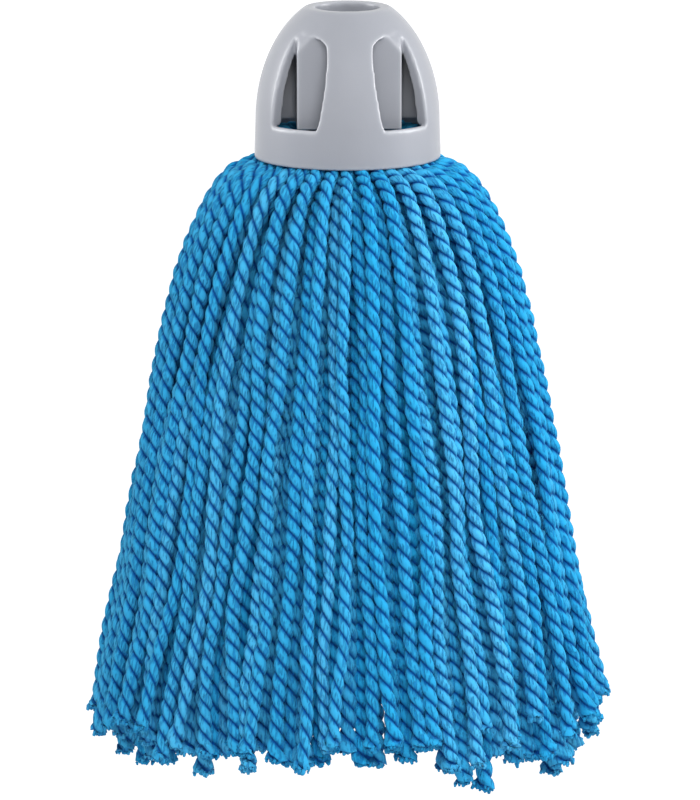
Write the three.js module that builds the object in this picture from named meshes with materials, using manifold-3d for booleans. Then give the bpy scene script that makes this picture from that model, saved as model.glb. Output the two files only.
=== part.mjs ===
// A round socket mop head: a domed plastic socket for a push-in handle, and the folded cords that hang
// from it. The cords are folded over a woven tape, pushed up round the socket's handle tube and wedged by
// a snap-in plug. Units are millimetres and +Z is up. The origin is on the socket's axis, in the plane of
// its rim. The front of the socket faces -Y.
import * as THREE from "three";
import { mergeVertices } from "three/addons/utils/BufferGeometryUtils.js";
import Module from "manifold-3d";

const wasm = await Module();
wasm.setup();

// ---- Driving sizes ----

// The socket: a hollow dome over a short collar, with a double-walled tube for the handle down its middle.
const BORE_MOUTH_RADIUS = 11.8; // a 23.5 mm handle enters here
const BORE_TAPER = 0.5; // how much the bore's radius shrinks on the way down
const FLOOR_THICKNESS = 2; // under the bore
const TUBE_WALL = 2.2; // of each of the tube's two walls
const TUBE_GAP = 1.8; // between them
const RIM_WIDTH = 3.6; // the flat ring round the mouth
const DOME_RADIUS = 33.4; // where the dome meets the collar
const DOME_DROP = 41; // from the rim's plane down to the collar
const DOME_WALL = 4.4;
const COLLAR_HEIGHT = 14.1;
const COLLAR_WALL = 2.4;
const COLLAR_DRAFT = 0.4; // how much wider the collar is at its lower edge
const CROWN_DEPTH = 5; // solid plastic under the rim
const CORE_COVER = 0.9; // of the square core over the tube: it shows through the windows
const RIB_THICKNESS = 2; // four ribs join the dome to the core, between its windows
const RIB_REACH = 1; // how far each one runs into what it joins

// Four windows through the dome, in two mirrored pairs, front and back. Their sides run towards the axis,
// and each looks onto a corner of the core.
const WINDOW_TOP_DEPTH = 9;
const WINDOW_NEAR_ANGLES = [21.5, 18]; // degrees from front or back to the nearer side, at foot and top
const WINDOW_FAR_ANGLES = [57.5, 51]; // and to the further side

// The plug that snaps up into the hole in the tube's floor.
const STEM_RADIUS = 3.2;
const HEAD_RADIUS = 4.3;
const HEAD_HEIGHT = 2.8;
const PLUG_HEIGHT = 4.8; // its body, between the tube's floor and the collar's lower edge
const FLANGE_HEIGHT = 2.4; // and its flange below that
const PLUG_TAPER = 1;

// The woven tape that the cords are folded over.
const TAPE_THICKNESS = 0.6;
const TAPE_COVER = 2.4; // yarn over the tape's upper edge
const HEADER_DROP = 1.6; // from the collar's upper edge down to the yarn
const INNER_ROW_SHARE = 0.45; // of the yarn's width in the collar, which the inner row of cords takes

// The cords. Each is folded in half, so both of its legs hang together below the socket.
const TUFTS = 12;
const OUTER_CORDS_PER_TUFT = 3;
const CORD_DIAMETER = 5.6;
const OUTER_HANG = 208; // how far the outer cords reach below the collar
const INNER_EXTRA = 6; // how much further the inner ones reach
const UNEVEN_CUT = [0, 7, 3, 9, 5]; // how much shorter each end is, in turn, as they are cut unevenly
const OUTER_BULGE = 27.5; // how far the outer cords spread just below the collar
const OUTER_BULGE_DEPTH = 7.5;
const OUTER_FLARE = 0.19; // and how much further for each millimetre below that
const INNER_BULGE = 22;
const INNER_BULGE_DEPTH = 20;
const INNER_FLARE = 0.1;
const SIDE_GAP_TOP = 0.3; // between neighbouring cords at the collar
const SIDE_GAP = 0.9; // and further down, on each side

const CLEARANCE = 0.3; // between pieces that meet
const STEM_CLEARANCE = 0.4;

const LATHE_SEGMENTS = 48;
const DOME_STEPS = 9;
const WINDOW_ARC_STEPS = 4;
const CORD_SIDES = 6;
const CORD_LEVELS = [0, 0.015, 0.04, 0.08, 0.15, 0.4, 1]; // shares of a cord's hang

// ---- Sizes that follow from those ----

const collarTop = -DOME_DROP;
const collarFoot = collarTop - COLLAR_HEIGHT;
const collarRadius = DOME_RADIUS + COLLAR_DRAFT;
const rimRadius = BORE_MOUTH_RADIUS + RIM_WIDTH;
// The dome's outline is part of an ellipse with this upright half-axis, which brings it to the rim.
const domeHalfAxis = DOME_DROP / Math.sqrt(1 - (rimRadius / DOME_RADIUS) ** 2);
const tubeInner = BORE_MOUTH_RADIUS + TUBE_WALL;
const tubeRadius = tubeInner + TUBE_GAP + TUBE_WALL;
const tubeFoot = collarFoot + PLUG_HEIGHT + CLEARANCE;
const boreFloor = tubeFoot + FLOOR_THICKNESS;
const coreWidth = 2 * (tubeRadius + CORE_COVER);
const floorHoleRadius = STEM_RADIUS + STEM_CLEARANCE;
const headerInner = tubeRadius + CLEARANCE;
const headerOuter = DOME_RADIUS - COLLAR_WALL - CLEARANCE;
const headerTop = collarTop - HEADER_DROP;
const rowSplit = THREE.MathUtils.lerp(headerInner, headerOuter, INNER_ROW_SHARE);
const headerMiddle = (headerInner + headerOuter) / 2;
const cordTop = collarFoot - CLEARANCE;
const rad = THREE.MathUtils.degToRad;

// ---- Solids ----

function solid(geometry) {
  const bare = geometry.clone();
  bare.deleteAttribute("normal");
  bare.deleteAttribute("uv");
  const merged = mergeVertices(bare, 1e-4);
  return new wasm.Manifold(
    new wasm.Mesh({
      numProp: 3,
      vertProperties: merged.attributes.position.array,
      triVerts: new Uint32Array(merged.index.array),
    }),
  );
}

function geometryOf(manifold) {
  const mesh = manifold.getMesh();
  const geometry = new THREE.BufferGeometry();
  geometry.setAttribute("position", new THREE.BufferAttribute(mesh.vertProperties, 3));
  geometry.setIndex(new THREE.BufferAttribute(mesh.triVerts, 1));
  return geometry;
}

// Turns a profile of [radius, height] points about the Z axis. They run anticlockwise, with the axis on
// the left.
function turned(profile) {
  const points = profile.map(([radius, height]) => new THREE.Vector2(radius, height));
  return new THREE.LatheGeometry(points, LATHE_SEGMENTS).rotateX(Math.PI / 2);
}

// Moves each vertex of a geometry to where place(x, y, z) says.
function reshaped(geometry, place) {
  const position = geometry.attributes.position;
  for (let i = 0; i < position.count; i++) {
    position.setXYZ(i, ...place(position.getX(i), position.getY(i), position.getZ(i)));
  }
  return geometry;
}

const polar = (radius, angle, height) => [radius * Math.cos(angle), radius * Math.sin(angle), height];

// ---- The socket ----

// The radius of an ellipse like the dome's, set in by inset, at a height.
function domeRadius(height, inset = 0) {
  const share = (height - collarTop) / (domeHalfAxis - inset);
  return (DOME_RADIUS - inset) * Math.sqrt(1 - share * share);
}

// Points down a dome from height to the collar, closer together near the top where it curves most.
function domeOutline(top, inset) {
  return Array.from({ length: DOME_STEPS + 1 }, (_, i) => {
    const height = top + (collarTop - top) * (i / DOME_STEPS) ** 1.3;
    return [domeRadius(height, inset), height];
  });
}

// The height at which a dome set in by inset has a given radius.
function domeHeight(radius, inset) {
  const share = radius / (DOME_RADIUS - inset);
  return collarTop + (domeHalfAxis - inset) * Math.sqrt(1 - share * share);
}

function shellProfile() {
  const gapOuter = tubeInner + TUBE_GAP;
  return [
    [floorHoleRadius, tubeFoot],
    [tubeInner, tubeFoot],
    [tubeInner, -CROWN_DEPTH],
    [gapOuter, -CROWN_DEPTH],
    [gapOuter, tubeFoot],
    [tubeRadius, tubeFoot],
    ...domeOutline(domeHeight(tubeRadius, DOME_WALL), DOME_WALL),
    [DOME_RADIUS - COLLAR_WALL, collarTop],
    [collarRadius - COLLAR_WALL, collarFoot],
    [collarRadius, collarFoot],
    ...domeOutline(0, 0).reverse(),
    [BORE_MOUTH_RADIUS, 0],
    [BORE_MOUTH_RADIUS - BORE_TAPER, boreFloor],
    [floorHoleRadius, boreFloor],
    [floorHoleRadius, tubeFoot],
  ];
}

// The block that cuts one window: it is bent round the axis, and its sides lean from foot to top.
function windowBlock() {
  const outer = 2 * DOME_RADIUS;
  return reshaped(new THREE.BoxGeometry(1, 1, 1, 1, WINDOW_ARC_STEPS, 1), (x, y, z) => {
    const rise = z + 0.5;
    const near = THREE.MathUtils.lerp(...WINDOW_NEAR_ANGLES, rise);
    const far = THREE.MathUtils.lerp(...WINDOW_FAR_ANGLES, rise);
    const angle = THREE.MathUtils.lerp(rad(near), rad(far), y + 0.5) - Math.PI / 2;
    const height = THREE.MathUtils.lerp(collarTop, -WINDOW_TOP_DEPTH, rise);
    return polar(THREE.MathUtils.lerp(tubeRadius, outer, x + 0.5), angle, height);
  });
}

// The square block round the tube. The dome cuts its corners off at the top, and the bore runs through it.
function coreSolid(dome) {
  const foot = headerTop + CLEARANCE;
  const block = new THREE.BoxGeometry(coreWidth, coreWidth, -foot).translate(0, 0, foot / 2);
  const inside = tubeRadius - TUBE_WALL / 2;
  const hole = new THREE.CylinderGeometry(inside, inside, 3 * DOME_DROP, LATHE_SEGMENTS).rotateX(Math.PI / 2);
  return solid(block).intersect(dome).subtract(solid(hole));
}

// A cross of two bars, cut off inside the dome's wall and inside the tube's outer wall, which leaves four
// ribs.
function ribsSolid() {
  const outline = domeOutline(-CROWN_DEPTH, DOME_WALL - RIB_REACH).reverse();
  const within = solid(turned([[0, collarTop], ...outline, [0, -CROWN_DEPTH]]));
  const bar = new THREE.BoxGeometry(RIB_THICKNESS, 2 * DOME_RADIUS, DOME_DROP).translate(0, 0, -DOME_DROP / 2);
  const coreRadius = tubeRadius - RIB_REACH;
  const core = new THREE.CylinderGeometry(coreRadius, coreRadius, 3 * DOME_DROP, LATHE_SEGMENTS);
  const cross = solid(bar).add(solid(bar.clone().rotateZ(Math.PI / 2)));
  return cross.intersect(within).subtract(solid(core.rotateX(Math.PI / 2)));
}

function socketGeometry() {
  const dome = solid(turned([[0, collarTop], ...domeOutline(0, 0).reverse(), [0, 0]]));
  const core = coreSolid(dome);
  const right = solid(windowBlock());
  const front = right.add(right.mirror([1, 0, 0]));
  const windows = front.add(front.mirror([0, 1, 0])).subtract(core);
  return geometryOf(solid(turned(shellProfile())).add(ribsSolid()).subtract(windows).add(core));
}

// ---- What holds the cords ----

function plugGeometry() {
  const radius = headerInner - 3 * CLEARANCE;
  const bodyTop = tubeFoot - CLEARANCE;
  const headFoot = boreFloor + CLEARANCE;
  return turned([
    [0, collarFoot - FLANGE_HEIGHT],
    [radius, collarFoot - FLANGE_HEIGHT],
    [radius, collarFoot],
    [radius - PLUG_TAPER, bodyTop],
    [STEM_RADIUS, bodyTop],
    [STEM_RADIUS, headFoot],
    [HEAD_RADIUS, headFoot],
    [HEAD_RADIUS - PLUG_TAPER, headFoot + HEAD_HEIGHT],
    [0, headFoot + HEAD_HEIGHT],
  ]);
}

// The folded middles of all the cords, squeezed into a ring with a channel for the tape.
function headerGeometry() {
  const half = TAPE_THICKNESS / 2 + CLEARANCE;
  return turned([
    [headerInner, collarFoot],
    [headerMiddle - half, collarFoot],
    [headerMiddle - half, headerTop - TAPE_COVER],
    [headerMiddle + half, headerTop - TAPE_COVER],
    [headerMiddle + half, collarFoot],
    [headerOuter, collarFoot],
    [headerOuter, headerTop],
    [headerInner, headerTop],
    [headerInner, collarFoot],
  ]);
}

function tapeGeometry() {
  const inner = headerMiddle - TAPE_THICKNESS / 2;
  const outer = headerMiddle + TAPE_THICKNESS / 2;
  const top = headerTop - TAPE_COVER - CLEARANCE;
  return turned([[inner, collarFoot], [outer, collarFoot], [outer, top], [inner, top], [inner, collarFoot]]);
}

// ---- The cords ----

// Both legs of one folded cord as one plain solid. Its level sections are ovals: narrow across and deep
// towards the axis at the collar, where the cords are squeezed, and two legs wide further down.
function cordGeometry({ angle, sector, from, to, hang, bulge, bulgeDepth, flare }) {
  const steps = CORD_LEVELS.length - 1;
  const topRadius = (from + to) / 2;
  const topDepth = (to - from) / 2;
  return reshaped(new THREE.CylinderGeometry(1, 1, 1, CORD_SIDES, steps).rotateX(Math.PI / 2), (x, y, z) => {
    const drop = hang * CORD_LEVELS[Math.round((0.5 - z) * steps)];
    const middle = topRadius + bulge * (1 - Math.exp(-drop / bulgeDepth)) + flare * drop;
    const squeeze = Math.exp(-drop / bulgeDepth);
    const depth = THREE.MathUtils.lerp(CORD_DIAMETER / 2, topDepth, squeeze);
    const gap = THREE.MathUtils.lerp(SIDE_GAP, SIDE_GAP_TOP, squeeze);
    const width = Math.min(CORD_DIAMETER, middle * Math.tan(sector / 2) - gap);
    const [outwards, across] = [middle + depth * x, width * y];
    return [
      outwards * Math.cos(angle) - across * Math.sin(angle),
      outwards * Math.sin(angle) + across * Math.cos(angle),
      cordTop - drop,
    ];
  });
}

function outerCord(index) {
  const sector = (2 * Math.PI) / (TUFTS * OUTER_CORDS_PER_TUFT);
  const shift = (OUTER_CORDS_PER_TUFT - 1) / 2;
  return cordGeometry({
    angle: (index - shift) * sector - Math.PI / 2,
    sector,
    from: rowSplit + CLEARANCE,
    to: headerOuter,
    hang: OUTER_HANG - UNEVEN_CUT[index % UNEVEN_CUT.length],
    bulge: OUTER_BULGE,
    bulgeDepth: OUTER_BULGE_DEPTH,
    flare: OUTER_FLARE,
  });
}

function innerCord(index) {
  const sector = (2 * Math.PI) / TUFTS;
  return cordGeometry({
    angle: index * sector - Math.PI / 2,
    sector,
    from: headerInner,
    to: rowSplit - CLEARANCE,
    hang: OUTER_HANG + INNER_EXTRA - UNEVEN_CUT[index % UNEVEN_CUT.length],
    bulge: INNER_BULGE,
    bulgeDepth: INNER_BULGE_DEPTH,
    flare: INNER_FLARE,
  });
}

// ---- The mop head ----

const greyPlastic = new THREE.MeshStandardMaterial({ color: 0xacafb7, roughness: 0.45, metalness: 0 });
const palePlastic = new THREE.MeshStandardMaterial({ color: 0x9a9da6, roughness: 0.5, metalness: 0 });
const blueYarn = new THREE.MeshStandardMaterial({ color: 0x1f8ccb, roughness: 0.95, metalness: 0 });
const whiteTape = new THREE.MeshStandardMaterial({ color: 0xe6e6e2, roughness: 0.9, metalness: 0 });

const mopHead = new THREE.Group();

function add(name, geometry, material) {
  const mesh = new THREE.Mesh(geometry, material);
  mesh.name = name;
  mopHead.add(mesh);
}

const numbered = (name, index) => `${name}_${String(index + 1).padStart(2, "0")}`;

add("socket", socketGeometry(), greyPlastic);
add("retainer_plug", plugGeometry(), palePlastic);
add("yarn_header", headerGeometry(), blueYarn);
add("header_tape", tapeGeometry(), whiteTape);
for (let i = 0; i < TUFTS * OUTER_CORDS_PER_TUFT; i++) {
  add(numbered("outer_cord", i), outerCord(i), blueYarn);
}
for (let i = 0; i < TUFTS; i++) {
  add(numbered("inner_cord", i), innerCord(i), blueYarn);
}

export default mopHead;
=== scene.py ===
"""A round socket mop head: a domed plastic socket over a bell of twisted cotton cords.

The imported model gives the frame. This script dresses it: a finely rounded socket moulding, the folded yarn
inside it, and every hanging leg of cord as two twisted plies with a frayed end. Lengths are in metres.
"""

import logging
import math
from dataclasses import dataclass, field, fields
from enum import Enum

import bmesh
import bpy
import numpy as np
from mathutils import Matrix, Vector


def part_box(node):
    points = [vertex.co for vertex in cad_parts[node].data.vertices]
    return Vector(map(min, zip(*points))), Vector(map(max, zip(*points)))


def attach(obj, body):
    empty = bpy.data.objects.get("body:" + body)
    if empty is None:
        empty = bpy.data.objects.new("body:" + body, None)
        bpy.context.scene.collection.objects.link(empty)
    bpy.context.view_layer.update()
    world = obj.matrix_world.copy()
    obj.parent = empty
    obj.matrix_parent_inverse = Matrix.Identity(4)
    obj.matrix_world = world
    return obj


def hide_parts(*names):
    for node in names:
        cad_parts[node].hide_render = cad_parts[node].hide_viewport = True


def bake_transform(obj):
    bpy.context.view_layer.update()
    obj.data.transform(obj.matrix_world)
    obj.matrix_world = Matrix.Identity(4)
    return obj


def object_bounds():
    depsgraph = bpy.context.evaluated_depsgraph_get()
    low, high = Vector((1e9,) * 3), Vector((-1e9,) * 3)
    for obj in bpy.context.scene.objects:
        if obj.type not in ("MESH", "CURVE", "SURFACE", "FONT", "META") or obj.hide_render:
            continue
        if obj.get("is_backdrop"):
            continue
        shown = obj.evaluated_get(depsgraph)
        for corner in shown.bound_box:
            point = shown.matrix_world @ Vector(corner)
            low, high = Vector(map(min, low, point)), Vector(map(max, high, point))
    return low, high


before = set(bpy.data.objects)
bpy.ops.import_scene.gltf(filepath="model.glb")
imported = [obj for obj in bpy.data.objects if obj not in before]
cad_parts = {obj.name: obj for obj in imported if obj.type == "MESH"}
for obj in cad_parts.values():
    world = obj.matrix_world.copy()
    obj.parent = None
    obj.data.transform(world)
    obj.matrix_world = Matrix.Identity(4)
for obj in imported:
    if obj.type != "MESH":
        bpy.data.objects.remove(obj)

LOG = logging.getLogger("mop_head")
MM = 0.001
TAU = 2 * math.pi
Point = tuple[float, float, float]
Profile = list[tuple[float, float]]


# ---- Helpers for meshes and nodes ----


def polar(radius: float, angle: float, height: float) -> Point:
    """The point at a radius and height, at an angle in radians from +X."""
    return (radius * math.cos(angle), radius * math.sin(angle), height)


def place(name: str, mesh: bpy.types.Mesh) -> bpy.types.Object:
    """Makes an object of a mesh, at the origin, and links it to the scene.

    Args:
        name: The object's name.
        mesh: Its mesh.

    Returns:
        The object.
    """
    piece = bpy.data.objects.new(name, mesh)
    bpy.context.scene.collection.objects.link(piece)
    return piece


def baked(source: bpy.types.Object, name: str) -> bpy.types.Object:
    """Turns an object with modifiers into a plain mesh object.

    Args:
        source: The object to evaluate. It is removed afterwards.
        name: The name of the new object.

    Returns:
        The new object, with its modifiers' result in its mesh.
    """
    depsgraph = bpy.context.evaluated_depsgraph_get()
    mesh = bpy.data.meshes.new_from_object(source.evaluated_get(depsgraph), depsgraph=depsgraph)
    mesh.name = name
    bpy.data.objects.remove(source)
    return place(name, mesh)


def closed(name: str, shape: bmesh.types.BMesh) -> bpy.types.Object:
    """Makes an object of a closed shape, with its faces turned outwards, and frees the shape.

    Args:
        name: The object's name.
        shape: The closed shape.

    Returns:
        The object.
    """
    bmesh.ops.recalc_face_normals(shape, faces=shape.faces)
    mesh = bpy.data.meshes.new(name)
    shape.to_mesh(mesh)
    shape.free()
    return place(name, mesh)


def combined(first: bpy.types.Object, operation: str, others: list[bpy.types.Object]) -> bpy.types.Object:
    """Combines closed solids into one.

    Args:
        first: The solid to start from. It is removed.
        operation: DIFFERENCE or INTERSECT.
        others: The solids to take away or to keep within. They are removed too.

    Returns:
        The result.
    """
    for other in others:
        step = first.modifiers.new(operation.lower(), "BOOLEAN")
        step.operation = operation
        step.object = other
        step.solver = "EXACT"
    result = baked(first, first.name)
    for other in others:
        bpy.data.objects.remove(other)
    return result


def lathe(name: str, profile: Profile, segments: int) -> bpy.types.Object:
    """Turns a closed outline about the Z axis.

    Args:
        name: The new object's name.
        profile: Points of (radius, height) round the outline, all off the axis.
        segments: How many steps make a full turn.

    Returns:
        A closed ring-shaped solid.
    """
    shape = bmesh.new()
    rings = []
    for step in range(segments):
        angle = TAU * step / segments
        rings.append([shape.verts.new(polar(radius, angle, height)) for radius, height in profile])
    count = len(profile)
    for step, ring in enumerate(rings):
        following = rings[(step + 1) % segments]
        for i in range(count):
            j = (i + 1) % count
            shape.faces.new((ring[i], following[i], following[j], ring[j]))
    return closed(name, shape)


def smooth_curve(points: Profile, count: int) -> np.ndarray:
    """Samples a rounded curve through points at even distances along it.

    Args:
        points: The points that the curve passes through.
        count: How many samples to return.

    Returns:
        An array of shape (count, 2).
    """
    knots = np.array(points)
    ends = np.vstack([2 * knots[0] - knots[1], knots, 2 * knots[-1] - knots[-2]])
    dense = []
    for i in range(1, len(ends) - 2):
        a, b, c, d = ends[i - 1 : i + 3]
        t = np.linspace(0, 1, 16, endpoint=False)[:, None]
        square, cube = 2 * a - 5 * b + 4 * c - d, 3 * b - a - 3 * c + d
        dense.append(0.5 * (2 * b + (c - a) * t + square * t**2 + cube * t**3))
    dense = np.vstack([*dense, knots[-1:]])
    along = np.concatenate([[0], np.cumsum(np.linalg.norm(np.diff(dense, axis=0), axis=1))])
    even = np.linspace(0, along[-1], count)
    return np.column_stack([np.interp(even, along, dense[:, k]) for k in range(dense.shape[1])])


Feed = bpy.types.NodeSocket | float | int | bool | str | tuple | bpy.types.Material | None


class Board:
    """Lays nodes in one tree and joins their sockets."""

    def __init__(self, tree: bpy.types.NodeTree) -> None:
        """Takes the tree to fill."""
        self.tree = tree

    def add(
        self, kind: str, inputs: dict[str | int, Feed] | None = None, **settings: object,
    ) -> bpy.types.Node:
        """Adds a node.

        Args:
            kind: The node's type name.
            inputs: What feeds its inputs, by name or position: another node's output, or a plain value.
            settings: Properties to set on the node first.

        Returns:
            The new node.
        """
        node = self.tree.nodes.new(kind)
        for key, value in settings.items():
            setattr(node, key, value)
        for key, value in (inputs or {}).items():
            self.feed(node.inputs[key], value)
        return node

    def feed(self, socket: bpy.types.NodeSocket, value: Feed) -> None:
        """Joins a socket to another node's output, or sets its plain value.

        Args:
            socket: The input to feed.
            value: A node's output, or a plain value.
        """
        if isinstance(value, bpy.types.NodeSocket):
            self.tree.links.new(value, socket)
        else:
            socket.default_value = value

    def math(self, operation: str, *values: Feed) -> bpy.types.NodeSocket:
        """Works out one sum, and returns its output."""
        return self.add("ShaderNodeMath", dict(enumerate(values)), operation=operation).outputs[0]

    def times(self, first: Feed, second: Feed) -> bpy.types.NodeSocket:
        """Multiplies two numbers, and returns the output."""
        return self.math("MULTIPLY", first, second)

    def vector(self, operation: str, *values: Feed) -> bpy.types.NodeSocket:
        """Works out one sum on vectors, and returns its output."""
        return self.add("ShaderNodeVectorMath", dict(enumerate(values)), operation=operation).outputs[0]

    def combine(self, x: Feed, y: Feed, z: Feed) -> bpy.types.NodeSocket:
        """Makes a vector of three numbers."""
        return self.add("ShaderNodeCombineXYZ", {0: x, 1: y, 2: z}).outputs[0]

    def scaled(self, vector: Feed, factor: Feed) -> bpy.types.NodeSocket:
        """Multiplies a vector by a number, and returns the output."""
        node = self.add("ShaderNodeVectorMath", {0: vector, "Scale": factor}, operation="SCALE")
        return node.outputs[0]

    def ramp(
        self, value: Feed, across: tuple[Feed, Feed], goes: tuple[Feed, Feed], smooth: bool = False,
    ) -> bpy.types.NodeSocket:
        """Maps a value from one range to another, held level past both ends.

        Args:
            value: The value to map.
            across: The range that the value moves through.
            goes: What the result is at the range's two ends.
            smooth: Whether the result leaves and reaches its ends gently.

        Returns:
            The output.
        """
        node = self.add("ShaderNodeMapRange", {0: value, 1: across[0], 2: across[1], 3: goes[0], 4: goes[1]})
        node.interpolation_type = "SMOOTHSTEP" if smooth else "LINEAR"
        return node.outputs[0]

    def noise(self, spot: Feed, scale: Feed, detail: float, roughness: float = 0.5) -> bpy.types.NodeSocket:
        """Makes a cloudy pattern from 0 to 1 at a spot, and returns the output."""
        values = {"Vector": spot, "Scale": scale, "Detail": detail, "Roughness": roughness}
        return self.add("ShaderNodeTexNoise", values).outputs[0]

    def mixed(self, share: Feed, first: Feed, second: Feed) -> bpy.types.NodeSocket:
        """Mixes two colours, the first where the share is 0 and the second where it is 1."""
        return self.add("ShaderNodeMix", {0: share, 6: first, 7: second}, data_type="RGBA").outputs[2]

    def attribute(self, name: str) -> bpy.types.NodeOutputs:
        """Reads what a mesh stores under a name, and returns the node's outputs."""
        return self.add("ShaderNodeAttribute", attribute_name=name).outputs


# ---- Finishes ----


def shader_group(name: str, inputs: dict[str, Feed], outputs: tuple[str, ...]) -> Board:
    """Starts a shader node group.

    Args:
        name: The group's name.
        inputs: Its inputs by name. A number is that input's usual value, and None makes it a vector.
        outputs: The names of its outputs, all numbers.

    Returns:
        The board of the group's tree.
    """
    tree = bpy.data.node_groups.new(name, "ShaderNodeTree")
    made = tree.interface.new_socket
    for key, value in inputs.items():
        if value is None:
            made(key, in_out="INPUT", socket_type="NodeSocketVector")
        else:
            made(key, in_out="INPUT", socket_type="NodeSocketFloat").default_value = value
    for key in outputs:
        made(key, in_out="OUTPUT", socket_type="NodeSocketFloat")
    return Board(tree)


def fibre_group() -> bpy.types.NodeTree:
    """Builds the shader group for spun fibres: creases and a fine fuzz that run along a coordinate's Z.

    Returns:
        A group that puts out Creases (1 in a crease), Fuzz and Tone.
    """
    inputs = {"Coordinate": None, "Across": 1350.0, "Along": 270.0, "Crease": 0.52}
    board = shader_group("Spun fibres", inputs, ("Creases", "Fuzz", "Tone"))
    given = board.add("NodeGroupInput").outputs
    stretch = board.combine(given["Across"], given["Across"], given["Along"])
    spot = board.vector("MULTIPLY", given["Coordinate"], stretch)
    long = board.noise(spot, 1.0, 1.0, 0.45)
    crease_width = 0.12
    across = (given["Crease"], board.math("ADD", given["Crease"], crease_width))
    board.add("NodeGroupOutput", {
        "Creases": board.ramp(long, across, (0.0, 1.0)),
        "Fuzz": board.noise(spot, 2.6, 2.0, 0.6),
        "Tone": board.noise(spot, 0.18, 2.0),
    })
    return board.tree


def mould_group() -> bpy.types.NodeTree:
    """Builds the shader group for moulded plastic: a fine orange-peel grain and slow changes of gloss.

    Returns:
        A group that puts out Grain and Cloud, both from 0 to 1.
    """
    inputs = {"Grain Scale": 2200.0, "Cloud Scale": 60.0}
    board = shader_group("Moulded skin", inputs, ("Grain", "Cloud"))
    given = board.add("NodeGroupInput").outputs
    spot = board.add("ShaderNodeTexCoord").outputs["Object"]
    board.add("NodeGroupOutput", {
        "Grain": board.noise(spot, given["Grain Scale"], 2.0),
        "Cloud": board.noise(spot, given["Cloud Scale"], 3.0),
    })
    return board.tree


def new_material(name: str) -> tuple[bpy.types.Material, Board, bpy.types.Node]:
    """Makes an empty node material.

    Args:
        name: The material's name.

    Returns:
        The material, its board and its Principled shader.
    """
    material = bpy.data.materials.new(name)
    material.use_nodes = True
    return material, Board(material.node_tree), material.node_tree.nodes["Principled BSDF"]


@dataclass(frozen=True)
class PlasticFinish:
    """Satin moulded polypropylene, with a painted highlight on its convex edges."""

    name: str
    colour: Point
    shade: Point
    # Lighter colour for the painted highlight on convex edges.
    worn: Point
    roughness: float = 0.3
    gloss_change: float = 0.05
    grain_height: float = 0.012 * MM
    see_into: float = 4 * MM

    def build(self, mould: bpy.types.NodeTree) -> bpy.types.Material:
        """Makes the material.

        Args:
            mould: The shared group for moulded plastic.

        Returns:
            The material.
        """
        material, board, shader = new_material(self.name)
        skin = board.add("ShaderNodeGroup", node_tree=mould)
        cloud = skin.outputs["Cloud"]
        tone = board.mixed(cloud, (*self.shade, 1), (*self.colour, 1))
        # Painted highlight: convex edges, by the edge mask, are mixed towards the lighter colour.
        edge_highlighted = board.mixed(board.attribute("edge")["Fac"], tone, (*self.worn, 1))
        board.feed(shader.inputs["Base Color"], edge_highlighted)
        gloss = (self.roughness - self.gloss_change, self.roughness + self.gloss_change)
        board.feed(shader.inputs["Roughness"], board.ramp(cloud, (0.0, 1.0), gloss))
        bump = board.add("ShaderNodeBump", {"Height": skin.outputs["Grain"], "Distance": self.grain_height})
        board.feed(shader.inputs["Normal"], bump.outputs[0])
        shader.inputs["IOR"].default_value = 1.49
        shader.inputs["Subsurface Weight"].default_value = 0.2
        shader.inputs["Subsurface Radius"].default_value = (1, 1, 1)
        shader.inputs["Subsurface Scale"].default_value = self.see_into
        return material


GREY_PLASTIC = PlasticFinish(
    "grey plastic", colour=(0.245, 0.255, 0.285), shade=(0.232, 0.242, 0.270), worn=(0.40, 0.41, 0.44),
)
DARK_PLASTIC = PlasticFinish(
    "dark plastic", colour=(0.20, 0.21, 0.24), shade=(0.18, 0.19, 0.22), worn=(0.3, 0.3, 0.33),
)


@dataclass(frozen=True)
class YarnFinish:
    """Dyed cotton yarn, spun in plies, with painted shade darkening the grooves between the plies and the
    fibre creases.
    """

    name: str = "blue cotton yarn"
    crest: Point = (0.009, 0.286, 0.565)
    # Painted shade: the dark colour painted into the grooves between the plies.
    groove: Point = (0.0003, 0.052, 0.250)
    # Painted shade: the dark colour painted into the fibre creases.
    crease: Point = (0.0006, 0.090, 0.320)
    worn: Point = (0.090, 0.450, 0.730)
    wear: float = 0.6
    crease_shade_strength: float = 0.5
    crease_height: float = 0.40 * MM
    fuzz_height: float = 0.12 * MM

    def build(self, fibres: bpy.types.NodeTree) -> bpy.types.Material:
        """Makes the material, which reads the cord's own attributes fibre, crest and tint; crest masks the
        painted shade in the grooves.

        Args:
            fibres: The shared group for spun fibres.

        Returns:
            The material.
        """
        material, board, shader = new_material(self.name)
        on_cord = board.attribute("fibre")["Vector"]
        spun = board.add("ShaderNodeGroup", {"Coordinate": on_cord}, node_tree=fibres)
        creases, fuzz, tone = (spun.outputs[name] for name in ("Creases", "Fuzz", "Tone"))
        tint = board.times(board.attribute("tint")["Fac"], self.wear)
        worn = board.times(board.math("ADD", tone, fuzz), tint)
        colour = board.mixed(worn, (*self.crest, 1), (*self.worn, 1))
        # Painted shade in the fibre creases.
        colour = board.mixed(board.times(creases, self.crease_shade_strength), colour, (*self.crease, 1))
        # Painted shade in the grooves between the plies, where the crest mask is low.
        colour = board.mixed(board.attribute("crest")["Fac"], (*self.groove, 1), colour)
        board.feed(shader.inputs["Base Color"], colour)
        deep = board.add("ShaderNodeBump", {
            "Height": board.times(creases, -1.0), "Distance": self.crease_height,
        })
        fuzzy = board.add("ShaderNodeBump", {
            "Height": fuzz, "Distance": self.fuzz_height, "Normal": deep.outputs[0],
        })
        board.feed(shader.inputs["Normal"], fuzzy.outputs[0])
        shader.inputs["Roughness"].default_value = 0.95
        shader.inputs["Specular IOR Level"].default_value = 0.12
        shader.inputs["Sheen Weight"].default_value = 0.12
        shader.inputs["Sheen Roughness"].default_value = 0.5
        shader.inputs["Sheen Tint"].default_value = (0.2, 0.7, 1.0, 1)
        return material


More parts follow.
